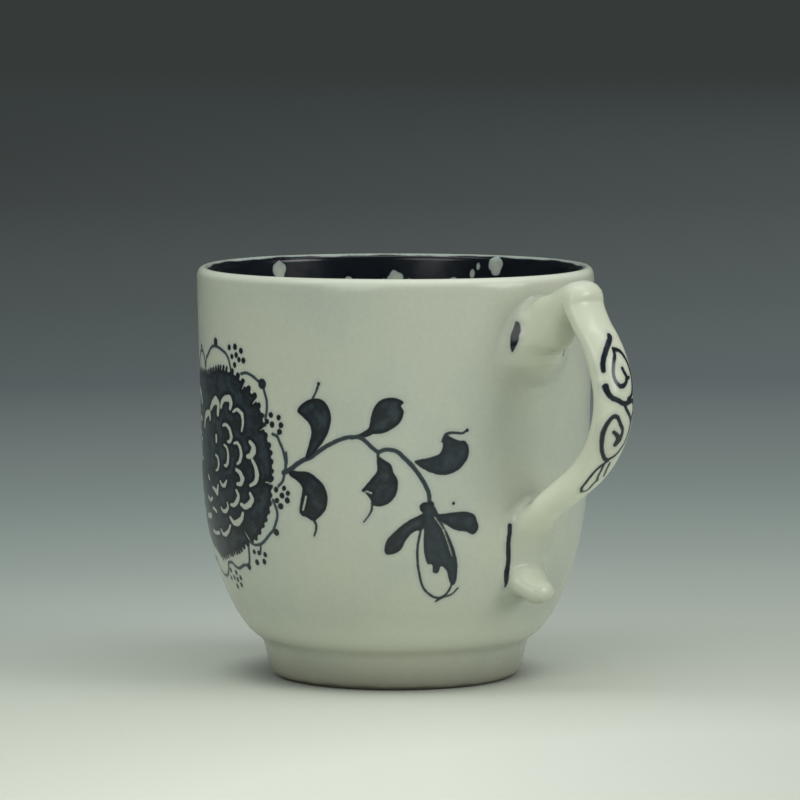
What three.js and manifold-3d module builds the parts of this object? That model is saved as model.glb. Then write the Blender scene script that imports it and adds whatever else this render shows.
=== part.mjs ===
// Small footed porcelain coffee cup with a scrolled strap handle. Millimetres, +Z up, handle along +X.
// The origin is on the table, under the middle of the cup and handle together.
import * as THREE from 'three';
import Module from 'manifold-3d';
import { mergeVertices } from 'three/addons/utils/BufferGeometryUtils.js';

const wasm = await Module();
wasm.setup();

// Bowl
const CUP_HEIGHT = 62;
const RIM_RADIUS = 29.95; // outside, at the lip
const LIP_THICKNESS = 2;
const BELLY_RADIUS = 29.2; // outside, where the rounded base has turned upright
const BELLY_HEIGHT = 33;
const WALL_THICKNESS = 2.5; // at the belly
const FLOOR_THICKNESS = 3.4;
const FLOOR_RADIUS = 17.5; // flat part of the inside floor
const BASE_FULLNESS = 0.625; // 0.5 makes the base an ellipse, larger draws it in
const RECESS_DEPTH = 0.6; // hollow of the underside inside the foot

// Foot
const FOOT_HEIGHT = 5.8;
const FOOT_TOP_RADIUS = 19.9;
const FOOT_REST_RADIUS = 18.6;
const FOOT_TOP_WIDTH = 4.2;
const FOOT_REST_WIDTH = 2.4;
const FOOT_EDGE = 0.5; // bevel of the resting edge

// Handle strap
const STRAP_WIDTH = 7;
const STRAP_THICKNESS = 4;
const STRAP_ROUNDING = 2.5; // section exponent: 2 is an ellipse, larger is squarer
const GRIP_REACH = 15.2; // strap middle beyond the wall at the widest part of the grip
const GRIP_HEIGHT = 43.5;
const KICK_REACH = 8; // strap middle beyond the wall at the thumb rest
const KICK_DROP = 2.6; // strap middle below the lip there
const UPPER_END_DROP = 15.6; // lower edge of the upper terminal below the lip
const LOWER_END_HEIGHT = 25.2; // where the strap comes back to the wall
const TAIL_REACH = 5; // curled tail beyond the wall
const TAIL_HEIGHT = 15.2;

// Slip pads that join the handle to the wall
const SLIP_GAP = 0.3;
const SLIP_DEPTH = 0.6; // slip between the wall and the end of the strap
const SLIP_COLLAR = 1.7; // how far the soft collar stands off the wall
const SLIP_MARGIN = 1.3; // collar round the strap

const LATHE_SEGMENTS = 60;
const BASE_STEPS = 11;
const LIP_STEPS = 6;
const STRAP_RINGS = 66;
const STRAP_SIDES = 16;

const lipHeight = CUP_HEIGHT - LIP_THICKNESS / 2;
const floorHeight = FOOT_HEIGHT + FLOOR_THICKNESS;

// Radius of the rounded base between its start and the belly.
function baseRadius(z, startHeight, startRadius, endRadius) {
  const t = THREE.MathUtils.clamp((z - startHeight) / (BELLY_HEIGHT - startHeight), 0, 1);
  return startRadius + (endRadius - startRadius) * (1 - (1 - t) ** 2) ** BASE_FULLNESS;
}

function wallRadius(z) {
  if (z < BELLY_HEIGHT) return baseRadius(z, FOOT_HEIGHT, FOOT_TOP_RADIUS, BELLY_RADIUS);
  const t = Math.min((z - BELLY_HEIGHT) / (lipHeight - BELLY_HEIGHT), 1);
  return THREE.MathUtils.lerp(BELLY_RADIUS, RIM_RADIUS, t);
}

// Heights from the start of the rounded base to the belly, closer together where it is most curved.
function baseHeights(startHeight) {
  return Array.from({ length: BASE_STEPS + 1 }, (_, i) =>
    THREE.MathUtils.lerp(startHeight, BELLY_HEIGHT, (i / BASE_STEPS) ** 2));
}

function lathe(points) {
  const profile = points.map(([r, z]) => new THREE.Vector2(r, z));
  return new THREE.LatheGeometry(profile, LATHE_SEGMENTS).rotateX(Math.PI / 2);
}

function bowlProfile() {
  const innerBelly = BELLY_RADIUS - WALL_THICKNESS;
  const seatInner = FOOT_TOP_RADIUS - FOOT_TOP_WIDTH;
  const outside = baseHeights(FOOT_HEIGHT).map((z) => [wallRadius(z), z]);
  const inside = baseHeights(floorHeight)
    .map((z) => [baseRadius(z, floorHeight, FLOOR_RADIUS, innerBelly), z]).reverse();
  const lip = Array.from({ length: LIP_STEPS + 1 }, (_, i) => {
    const a = (Math.PI * i) / LIP_STEPS;
    const half = LIP_THICKNESS / 2;
    return [RIM_RADIUS - half + half * Math.cos(a), lipHeight + half * Math.sin(a)];
  });
  return [[0, FOOT_HEIGHT + RECESS_DEPTH], [seatInner - RECESS_DEPTH, FOOT_HEIGHT + RECESS_DEPTH],
    [seatInner, FOOT_HEIGHT], ...outside, ...lip, ...inside, [0, floorHeight]];
}

function footProfile() {
  const restInner = FOOT_REST_RADIUS - FOOT_REST_WIDTH;
  const profile = [
    [FOOT_TOP_RADIUS - FOOT_TOP_WIDTH, FOOT_HEIGHT],
    [restInner - FOOT_EDGE, FOOT_EDGE],
    [restInner, 0],
    [FOOT_REST_RADIUS - FOOT_EDGE, 0],
    [FOOT_REST_RADIUS, FOOT_EDGE],
    [FOOT_TOP_RADIUS, FOOT_HEIGHT],
  ];
  return [...profile, profile[0]];
}

function toSolid(geometry) {
  const bare = geometry.clone();
  for (const name of ['normal', 'uv']) bare.deleteAttribute(name);
  const merged = mergeVertices(bare, 1e-4);
  const triangles = [];
  for (let i = 0; i < merged.index.count; i += 3) {
    const corners = [0, 1, 2].map((k) => merged.index.getX(i + k));
    if (new Set(corners).size === 3) triangles.push(...corners);
  }
  return new wasm.Manifold(new wasm.Mesh({
    numProp: 3,
    vertProperties: new Float32Array(merged.attributes.position.array),
    triVerts: new Uint32Array(triangles),
  }));
}

function toGeometry(solid) {
  const mesh = solid.getMesh();
  const geometry = new THREE.BufferGeometry();
  geometry.setAttribute('position', new THREE.BufferAttribute(mesh.vertProperties, 3));
  geometry.setIndex(new THREE.BufferAttribute(mesh.triVerts, 1));
  geometry.computeVertexNormals();
  return geometry;
}

// Everything inside the outer wall, grown by a clearance: cuts the ends of the handle to the wall.
function wallCutter(clearance) {
  const heights = [...baseHeights(FOOT_HEIGHT), lipHeight, CUP_HEIGHT + STRAP_WIDTH];
  const side = heights.map((z) => [wallRadius(z) + clearance, z]);
  return toSolid(lathe([[0, FOOT_HEIGHT], ...side, [0, CUP_HEIGHT + STRAP_WIDTH]]));
}

// The strap from the upper terminal over the thumb rest, out round the grip and down to the tail.
// Each point: distance beyond the wall, height, share of the thickness, share of the width.
function strapPoints() {
  const kick = CUP_HEIGHT - KICK_DROP;
  const upperEnd = CUP_HEIGHT - UPPER_END_DROP;
  const neck = (kick + GRIP_HEIGHT) / 2;
  return [
    [0.4, upperEnd, 0.25, 0.35],
    [0.9, upperEnd + 2, 0.75, 0.85],
    [1.4, upperEnd + 4.8, 1.05, 1.05],
    [1.9, upperEnd + 7.8, 1.1, 1.05],
    [3.4, kick - 2.6, 1.05, 1.03],
    [KICK_REACH - 2.3, kick - 0.7, 1.05, 1.03],
    [KICK_REACH, kick, 1.2, 1.03],
    [KICK_REACH + 1.3, kick - 1.3, 1.1, 1.02],
    [KICK_REACH + 2.1, kick - 3.4, 0.9, 1],
    [(KICK_REACH + GRIP_REACH) / 2, neck + 2, 0.9, 1],
    [GRIP_REACH - 1.4, GRIP_HEIGHT + 6.4, 1, 1],
    [GRIP_REACH, GRIP_HEIGHT + 2, 1, 1],
    [GRIP_REACH, GRIP_HEIGHT - 2.3, 1, 1],
    [GRIP_REACH - 1.6, GRIP_HEIGHT - 6.3, 0.95, 1],
    [GRIP_REACH - 4.4, GRIP_HEIGHT - 9.7, 0.95, 1],
    [GRIP_REACH - 8, LOWER_END_HEIGHT + 5.8, 0.95, 0.97],
    [3.5, LOWER_END_HEIGHT + 3.2, 0.9, 0.94],
    [1.1, LOWER_END_HEIGHT, 0.75, 0.86],
    [0.5, LOWER_END_HEIGHT - 3, 0.55, 0.77],
    [0.7, TAIL_HEIGHT + 4.7, 0.55, 0.77],
    [TAIL_REACH - 3, TAIL_HEIGHT + 2.6, 0.85, 0.77],
    [TAIL_REACH - 1.4, TAIL_HEIGHT + 1, 1, 0.74],
    [TAIL_REACH, TAIL_HEIGHT, 0.85, 0.6],
    [TAIL_REACH + 0.9, TAIL_HEIGHT - 0.6, 0.4, 0.29],
  ];
}

// Ring of section corners round one point of the strap.
function strapRing(centre, tangent, halfThickness, halfWidth) {
  const outward = new THREE.Vector3(-tangent.z, 0, tangent.x).normalize();
  const power = 2 / STRAP_ROUNDING;
  return Array.from({ length: STRAP_SIDES }, (_, k) => {
    const a = (2 * Math.PI * k) / STRAP_SIDES;
    const across = Math.sign(Math.cos(a)) * Math.abs(Math.cos(a)) ** power * halfThickness;
    const side = Math.sign(Math.sin(a)) * Math.abs(Math.sin(a)) ** power * halfWidth;
    return centre.clone().addScaledVector(outward, across).add(new THREE.Vector3(0, side, 0));
  });
}

function strap(grow) {
  const points = strapPoints();
  const line = new THREE.CatmullRomCurve3(points.map(([out, z]) => new THREE.Vector3(wallRadius(z) + out, 0, z)));
  const size = new THREE.CatmullRomCurve3(points.map(([, , t, w]) => new THREE.Vector3(t, w, 0)));
  const rings = Array.from({ length: STRAP_RINGS + 1 }, (_, i) => {
    const u = i / STRAP_RINGS;
    const { x, y } = size.getPoint(u);
    return strapRing(line.getPoint(u), line.getTangent(u),
      (x * STRAP_THICKNESS) / 2 + grow, (y * STRAP_WIDTH) / 2 + grow);
  });
  return toSolid(loft(rings, line.getPoint(0), line.getPoint(1)));
}

// Closed skin over a row of rings, with a point in the middle of each end.
function loft(rings, start, end) {
  const vertices = [start, ...rings.flat(), end];
  const last = vertices.length - 1;
  const at = (i, k) => 1 + i * STRAP_SIDES + (k % STRAP_SIDES);
  const index = [];
  for (let k = 0; k < STRAP_SIDES; k += 1) {
    index.push(0, at(0, k), at(0, k + 1), last, at(rings.length - 1, k + 1), at(rings.length - 1, k));
    for (let i = 0; i + 1 < rings.length; i += 1) {
      index.push(at(i, k), at(i + 1, k), at(i + 1, k + 1), at(i, k), at(i + 1, k + 1), at(i, k + 1));
    }
  }
  const geometry = new THREE.BufferGeometry().setFromPoints(vertices);
  return geometry.setIndex(index);
}

// Soft lens of slip on the wall between two heights.
function slipLens(low, high) {
  const middle = (low + high) / 2;
  const lens = new THREE.SphereGeometry(1, 28, 16);
  lens.scale(1, STRAP_WIDTH / 2 + SLIP_MARGIN, (high - low) / 2 + SLIP_MARGIN);
  const corner = lens.attributes.position;
  for (let i = 0; i < corner.count; i += 1) {
    const z = corner.getZ(i) + middle;
    const y = corner.getY(i);
    const onWall = Math.sqrt(wallRadius(z) ** 2 - y ** 2);
    corner.setXYZ(i, onWall + corner.getX(i) * SLIP_COLLAR, y, z);
  }
  return toSolid(lens);
}

function slipPad(low, high, wall, grownStrap) {
  return slipLens(low, high).subtract(wall).subtract(grownStrap);
}

function mesh(name, geometry, color, roughness) {
  const piece = new THREE.Mesh(geometry, new THREE.MeshStandardMaterial({ color, roughness, metalness: 0 }));
  piece.name = name;
  return piece;
}

const slipWall = wallCutter(SLIP_GAP);
const strapEnd = wallCutter(SLIP_GAP + SLIP_DEPTH + SLIP_GAP);
const handleSolid = strap(0).subtract(strapEnd);
const slipCut = strap(SLIP_GAP).subtract(wallCutter(SLIP_GAP + SLIP_DEPTH));
const upperEndHeight = CUP_HEIGHT - UPPER_END_DROP;
const upperSlip = slipPad(upperEndHeight, CUP_HEIGHT - KICK_DROP - STRAP_THICKNESS, slipWall, slipCut);
const lowerSlip = slipPad(TAIL_HEIGHT + STRAP_THICKNESS / 2, LOWER_END_HEIGHT + STRAP_THICKNESS / 2, slipWall, slipCut);

const cup = new THREE.Group();
cup.add(
  mesh('cup_body', lathe(bowlProfile()), 0xb8c0ac, 0.15),
  mesh('foot_ring', lathe(footProfile()), 0xa8ac98, 0.25),
  mesh('handle', toGeometry(handleSolid), 0xd6d9c8, 0.15),
  mesh('upper_luting_slip', toGeometry(upperSlip), 0xc6cab8, 0.2),
  mesh('lower_luting_slip', toGeometry(lowerSlip), 0xc6cab8, 0.2),
);

// The cup's own axis stands off the origin so that the origin is under the middle of the whole.
const bounds = new THREE.Box3().setFromObject(cup);
cup.position.x = -(bounds.min.x + bounds.max.x) / 2;

const part = new THREE.Group();
part.add(cup);
export default part;
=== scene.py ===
import math

import bpy
import numpy as np
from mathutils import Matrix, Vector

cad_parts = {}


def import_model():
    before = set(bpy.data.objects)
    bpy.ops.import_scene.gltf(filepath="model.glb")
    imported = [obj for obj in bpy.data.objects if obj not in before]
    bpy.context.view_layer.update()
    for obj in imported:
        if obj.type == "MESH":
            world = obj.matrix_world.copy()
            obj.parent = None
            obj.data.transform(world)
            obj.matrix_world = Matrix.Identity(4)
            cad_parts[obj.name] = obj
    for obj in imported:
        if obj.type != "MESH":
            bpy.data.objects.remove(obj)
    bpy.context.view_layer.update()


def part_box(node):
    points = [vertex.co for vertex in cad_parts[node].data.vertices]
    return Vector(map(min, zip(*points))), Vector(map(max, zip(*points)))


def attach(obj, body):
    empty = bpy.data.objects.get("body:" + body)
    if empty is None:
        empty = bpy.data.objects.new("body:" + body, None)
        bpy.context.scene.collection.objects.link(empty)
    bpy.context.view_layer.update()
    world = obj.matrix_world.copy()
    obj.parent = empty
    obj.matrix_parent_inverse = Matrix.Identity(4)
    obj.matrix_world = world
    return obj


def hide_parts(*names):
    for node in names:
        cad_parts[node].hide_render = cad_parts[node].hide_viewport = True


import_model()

# The cup is made in millimetres about its own axis, with the handle along +X.
MM = 0.001
foot_low, foot_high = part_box("foot_ring")
AXIS_X = (foot_low.x + foot_high.x) / 2 / MM

# Bowl
CUP_HEIGHT = 62.0
RIM_RADIUS = 29.95
LIP_THICKNESS = 2.0
LIP_ROLL = 1.7  # how far the rounding of the lip reaches down the outside
BELLY_RADIUS = 29.2
BELLY_HEIGHT = 33.0
WALL_THICKNESS = 2.5
FLOOR_HEIGHT = 9.2
FLOOR_RADIUS = 17.5
BASE_FULLNESS = 0.625
RECESS_RADIUS = 15.1
RECESS_HEIGHT = 6.4
RECESS_SAG = 0.25
LIP_CENTRE = CUP_HEIGHT - LIP_THICKNESS / 2

# Foot ring
FOOT_HEIGHT = 5.8
FOOT_TOP_RADIUS = 19.9
FOOT_INNER_RADIUS = 15.7

# Strap handle
STRAP_HALF_WIDTH = 3.5
STRAP_HALF_THICKNESS = 2.0
# Height on the wall, and how far the luting clay there softens the corner between strap and wall:
# beside the strap, and added to that under the middle of it.
BLEND_REACH = [
    (10, 3, 0), (14, 3.2, 0), (18, 3.6, 0), (24, 3.2, 0), (27, 2.8, 0.8), (30, 1.8, 0), (45, 2.5, 0),
    (47, 3, 2), (49, 3.8, 5.5), (52, 3.6, 6), (54, 3, 4), (56.5, 2.3, 1.5), (58, 1.7, 0), (60, 1, 0),
]
BLEND_HALF_WIDTH = 4.5
PAD_HEIGHT = 3.0

# Adaptive mesh of the bowl
COLUMNS = 120
SPLIT = 8  # fine columns and rows of a painted block
FINE_ROW = 0.2
COARSE_ROW = 1.6
COARSE_TURN = math.radians(9)
SPLIT_NEAR = 0.42  # a block is split where the paint's edge is this near
BARE_OUTSIDE = 1.2  # no paint this far down the outside from the top of the lip
BARE_INSIDE = 0.3
DEG_MM = 0.515  # millimetres along the wall for one degree


# Curves and the turned profile


def spline(points, step, closed=False):
    """Points along a smooth curve through the given ones. Columns past the second are carried along."""
    p = np.asarray(points, float)
    if closed:
        ends = np.vstack([p[-1], p, p[0], p[1]])
    else:
        ends = np.vstack([2 * p[0] - p[1], p, 2 * p[-1] - p[-2]])
    out = []
    for p0, p1, p2, p3 in zip(ends, ends[1:], ends[2:], ends[3:]):
        d0, d1, d2 = (max(math.hypot(*(b - a)[:2]) ** 0.5, 1e-3) for a, b in ((p0, p1), (p1, p2), (p2, p3)))
        m1 = ((p1 - p0) / d0 - (p2 - p0) / (d0 + d1) + (p2 - p1) / d1) * d1
        m2 = ((p2 - p1) / d1 - (p3 - p1) / (d1 + d2) + (p3 - p2) / d2) * d1
        count = max(2, math.ceil(math.hypot(*(p2 - p1)[:2]) / step))
        for t in np.arange(count) / count:
            a = 2 * p1 - 2 * p2 + m1 + m2
            b = 3 * p2 - 3 * p1 - 2 * m1 - m2
            out.append(p1 + m1 * t + b * t * t + a * t**3)
    if not closed:
        out.append(p[-1])
    return np.array(out)


def base_radius(z, z0, r0, r1):
    t = np.clip((z - z0) / (BELLY_HEIGHT - z0), 0, 1)
    return r0 + (r1 - r0) * (1 - (1 - t) ** 2) ** BASE_FULLNESS


def wall_radius(z):
    z = np.asarray(z, float)
    rise = np.clip((z - BELLY_HEIGHT) / (LIP_CENTRE - BELLY_HEIGHT), 0, 1)
    upper = BELLY_RADIUS + (RIM_RADIUS - BELLY_RADIUS) * rise
    return np.where(z < BELLY_HEIGHT, base_radius(z, FOOT_HEIGHT, FOOT_TOP_RADIUS, BELLY_RADIUS), upper)


def wobble(angle, z):
    """The potter's hand: how far the wall strays from true at an angle in radians."""
    stray = 0.035 * np.sin(2 * angle + 0.6) + 0.02 * np.sin(5 * angle + z * 0.05)
    return stray * np.clip((z - 10) / 25, 0, 1)


def lip_dip(angle, z):
    """How far the lip dips below true."""
    return np.clip((z - 58) / 4, 0, 1) * (0.06 + 0.05 * np.sin(3 * angle + 1))


def wall_normal(z):
    slope = (wall_radius(z + 0.05) - wall_radius(z - 0.05)) / 0.1
    size = np.hypot(1, slope)
    return 1 / size, -slope / size


def bowl_profile():
    """(radius, height) from the middle of the underside, round the lip, to the middle of the floor."""
    belly_inside = BELLY_RADIUS - WALL_THICKNESS
    lip_inside = RIM_RADIUS - LIP_THICKNESS
    above_belly = LIP_CENTRE - BELLY_HEIGHT
    fan = np.linspace(0, 1, 60) ** 2.6
    outer = FOOT_HEIGHT + (BELLY_HEIGHT - FOOT_HEIGHT) * fan
    inner = FLOOR_HEIGHT + (BELLY_HEIGHT - FLOOR_HEIGHT) * fan[::-1]
    turn = np.linspace(0, math.pi, 25)
    half = LIP_THICKNESS / 2
    recess = np.linspace(0, RECESS_RADIUS, 8)
    parts = [
        np.column_stack([recess, RECESS_HEIGHT - RECESS_SAG * (1 - (recess / RECESS_RADIUS) ** 2)]),
        [(FOOT_INNER_RADIUS, FOOT_HEIGHT)],
        np.column_stack([wall_radius(outer), outer]),
        [(float(wall_radius(z)), z) for z in np.linspace(BELLY_HEIGHT + 2, LIP_CENTRE - 1.6, 12)],
        np.column_stack([
            lip_inside + half + half * np.cos(turn),
            CUP_HEIGHT - np.where(turn < math.pi / 2, LIP_ROLL, half) * (1 - np.sin(turn)),
        ]),
        [
            (belly_inside + (lip_inside - belly_inside) * (z - BELLY_HEIGHT) / above_belly, z)
            for z in np.linspace(LIP_CENTRE - 1, BELLY_HEIGHT + 2, 12)
        ],
        np.column_stack([base_radius(inner, FLOOR_HEIGHT, FLOOR_RADIUS, belly_inside), inner]),
        [(r, FLOOR_HEIGHT) for r in np.linspace(FLOOR_RADIUS - 1, 0, 8)],
    ]
    return np.vstack([np.asarray(part, float) for part in parts])


# Painted ornament

# Distances are in millimetres, negative inside the paint. A drawing's points are (degrees about the
# axis, height), or on the strap (millimetres past the thumb rest, millimetres across).
INK_REACH = 1.0  # distances are kept up to this
PLAIN_TONE = 0.8
INSIDE_TONE = 1.5  # marks the inside of the bowl, with its band, for its painted shade
INK_SPREAD = 1.15  # how much wider dots and petals came out than they were drawn


class Drawing:
    """Brush marks. They lie on the strap where across is 1, and otherwise go round the wall."""

    def __init__(self, across, middle=(0, 0)):
        self.across = across  # millimetres for one of the drawing's units
        self.middle = middle  # the points are given from here
        self.marks = []  # (kind, points, half widths, tone)

    def placed(self, points):
        """The drawing's points in millimetres."""
        return (np.asarray(points, float) + self.middle) * (self.across, 1)

    def line(self, points, width, tone=0.75):
        """A brush line. width is one number, or several spaced evenly along it."""
        wide = np.atleast_1d(width)
        p = self.placed(points)
        wide = np.interp(np.linspace(0, 1, len(p)), np.linspace(0, 1, len(wide)), wide) / 2
        p = spline(np.column_stack([p, wide]), 0.3)
        self.marks.append(("line", p[:, :2], p[:, 2], tone))

    def shape(self, points, tone=1.0):
        p = spline(self.placed(points), 0.3, closed=True)
        self.marks.append(("shape", p, None, tone))

    def dot(self, point, radius, tone=0.95):
        self.marks.append(("line", self.placed([point, point]), np.array([radius, radius]), tone))

    def gap(self, points, width):
        """Bare glaze left inside what is drawn before it."""
        self.line(points, width)
        self.marks[-1] = ("gap", *self.marks[-1][1:])

    def added(self, other, mirror):
        """Adds another drawing, mirrored about an angle."""
        for kind, p, wide, tone in other.marks:
            self.marks.append((kind, p * (-1, 1) + (2 * mirror * self.across, 0), wide, tone))

    def measure(self, angle, height):
        """(distance to the paint's edge, tone) at each point."""
        best = np.full(len(angle), INK_REACH)
        tones = np.full(len(angle), PLAIN_TONE)
        turn = 360 * self.across if self.across != 1 else math.inf
        for kind, p, wide, tone in self.marks:
            middle = (p[:, 0].min() + p[:, 0].max()) / 2
            x = angle * self.across
            if turn < math.inf:
                x = (x - middle + turn / 2) % turn - turn / 2 + middle
            margin = INK_REACH + (0 if wide is None else wide.max())
            low, high = p.min(0) - margin, p.max(0) + margin
            near = np.flatnonzero((x > low[0]) & (x < high[0]) & (height > low[1]) & (height < high[1]))
            if not len(near):
                continue
            at = np.column_stack([x[near], height[near]])
            away = shape_distance(at, p) if kind == "shape" else line_distance(at, p, wide)
            if kind == "gap":
                best[near] = np.maximum(best[near], -away)
                continue
            closer = away < best[near]
            best[near[closer]] = away[closer]
            tones[near[closer]] = tone
        return np.clip(best, -INK_REACH, INK_REACH), tones


def in_parts(at, p):
    """The points in groups small enough to compare with a whole line at once."""
    return np.array_split(at, max(1, len(at) * len(p) // 2_000_000))


def segment_offsets(at, p):
    """Offsets from each point to each stretch of a line, and how far along it the nearest place is."""
    a, b = p[:-1], p[1:]
    run = b - a
    length = np.maximum((run**2).sum(1), 1e-12)
    rel = at[:, None, :] - a[None]
    t = np.clip((rel * run[None]).sum(2) / length, 0, 1)
    return np.linalg.norm(rel - t[..., None] * run[None], axis=2), t


def line_distance(at, p, wide):
    out = []
    for part in in_parts(at, p):
        away, t = segment_offsets(part, p)
        out.append((away - (wide[:-1] + t * np.diff(wide))).min(1))
    return np.concatenate(out)


def shape_distance(at, p):
    ring = np.vstack([p, p[:1]])
    out = []
    for part in in_parts(at, p):
        away, _ = segment_offsets(part, ring)
        y, (y0, y1) = part[:, 1:2], (ring[:-1, 1], ring[1:, 1])
        crosses = (y0 > y) != (y1 > y)
        rise = np.where(y1 == y0, 1e-9, y1 - y0)
        at_x = ring[:-1, 0] + (y - y0) / rise * np.diff(ring[:, 0])
        inside = (crosses & (part[:, :1] < at_x)).sum(1) % 2 == 1
        out.append(np.where(inside, -1, 1) * away.min(1))
    return np.concatenate(out)


FLOWER = (-112.0, 33.5)  # its middle
# Direction from the middle in degrees, and the reach of the dark ring's teeth there in millimetres.
RING_REACH = [
    (-180, 14.9), (-149, 15.5), (-136, 15.6), (-122, 14.5), (-116, 14.8), (-107, 14.4), (-95, 15.3),
    (-85, 14.7), (-73, 14.4), (-64, 14.8), (-58, 14.6), (-44, 15.6), (-35, 15.7), (-23, 15.8),
    (-9, 15.4), (0, 15.5), (22, 15.4), (33, 16.2), (42, 16.5), (52, 16.2), (61, 16.3), (75, 15.4),
    (88, 14.3), (99, 13.8), (112, 14.6), (122, 16.0), (138, 16.3), (150, 15.2), (165, 14.9), (180, 14.9),
]
# Up to which direction, and the spacing and depth of the teeth there.
TEETH = [
    (-96, 0.9, 0.6), (-62, 0.95, 0.6), (-24, 1.25, 0.3), (10, 1.25, 0.5), (66, 1.4, 0.95), (180, 0.85, 0.65),
]
VEINS = [(-50, 2), (-8, 1.2), (40, 1.3), (24, 1.1), (52, 1.2)]  # direction and length

# The flower's points are from its middle, in degrees round the cup and millimetres up.
SCALLOPS = [  # outline, and the dot beside it with its radius
    ([(-5.7, 14), (-5, 15.25), (-3.3, 15.8), (-1, 16.75), (1, 17.25), (3.2, 17.4), (5.5, 17.25),
     (7.8, 16.9), (9.7, 16.5), (11, 15.8), (11.8, 14.8), (12.3, 13.8)], (3.4, 18, 0.7)),
    ([(17.2, 13.8), (19.5, 14), (21.8, 13.7), (24, 13.1), (26, 12.4), (27, 11.2), (27.6, 10.2),
     (27.6, 8.8), (27, 7.5)], (26, 12.6, 0.8)),
    ([(29.6, 5.3), (31.2, 5), (32.1, 4.2), (33.1, 3.2), (33.8, 2), (34.1, 0.7), (33.6, -0.5),
     (32.8, -1.7), (31.5, -2.3)], None),
    ([(29.2, -4.5), (30.5, -6), (30.5, -7), (29.5, -8.2), (28.6, -9), (27, -9.7), (25.3, -10.5),
     (23.4, -11.2), (21.8, -11.5)], (29.7, -9.3, 0.55)),
]
SCALLOPS_SEEN = [  # these have no mirror image on the hidden side
    ([(-6.2, 13.9), (-7, 15.2), (-8.8, 16.1), (-11, 16.2), (-13.2, 15.7), (-15, 14.7), (-16.4, 13.4)],
     (-10.8, 16.7, 0.5)),
    ([(16.9, -11.5), (16.6, -12.9), (16.1, -14), (15.1, -14.9), (12.6, -15), (10.7, -15.4), (8.7, -15.7),
     (6.8, -15.5), (4.8, -15), (2, -15.2)], (15.1, -15.1, 0.55)),
    ([(1.9, -15.3), (0.3, -16.5), (-1.6, -17.2), (-4.9, -17.5), (-7.8, -17.2), (-10, -16.1),
     (-11.4, -14.9)], None),
    ([(-11.6, -15.1), (-14, -15.7), (-17.4, -15.2), (-20, -13.9), (-21.4, -11.9)], None),
]
SCALLOP_ENDS = [
    [(34.3, 2.7), (34.5, 1.5), (34.1, 0.5)],
    [(22.6, -11.6), (22.4, -12.1), (22.1, -12.7)],
    [(17.1, -11), (18.2, -11.3), (20, -11.6), (21.8, -11.5)],
]
DOTS = [  # across, up, radius
    (11.65, 17.5, 0.4), (14.6, 17.7, 0.45), (17.4, 17.2, 0.42), (15.05, 16.5, 0.4), (12.9, 16.2, 0.38),
    (16.35, 15.85, 0.38), (14.2, 15, 0.4), (18.4, 15.8, 0.42), (29.1, 8.1, 0.4), (31.9, 7.8, 0.38),
    (27.6, 7.1, 0.38), (29.5, 6.7, 0.42), (32.7, 6.7, 0.4), (32.1, 5.7, 0.42), (30.5, -2.9, 0.4),
    (32.6, -3.7, 0.42), (33.4, -2.6, 0.36), (34.7, -3.3, 0.36), (34.4, -4.4, 0.42), (30.7, -4.5, 0.38),
    (32, -5.3, 0.45), (19.2, -12.7, 0.35), (21.3, -12.75, 0.35), (24, -12.9, 0.38), (23.1, -14, 0.4),
    (19.7, -14.25, 0.42), (2.3, -16.3, 0.36), (6.1, -16.5, 0.36), (8.2, -17.2, 0.36), (3.5, -17.4, 0.33),
    (5.7, -17.6, 0.36), (0.8, -17.6, 0.3), (3.9, -18.7, 0.36), (7.3, -18.3, 0.36),
]
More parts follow.
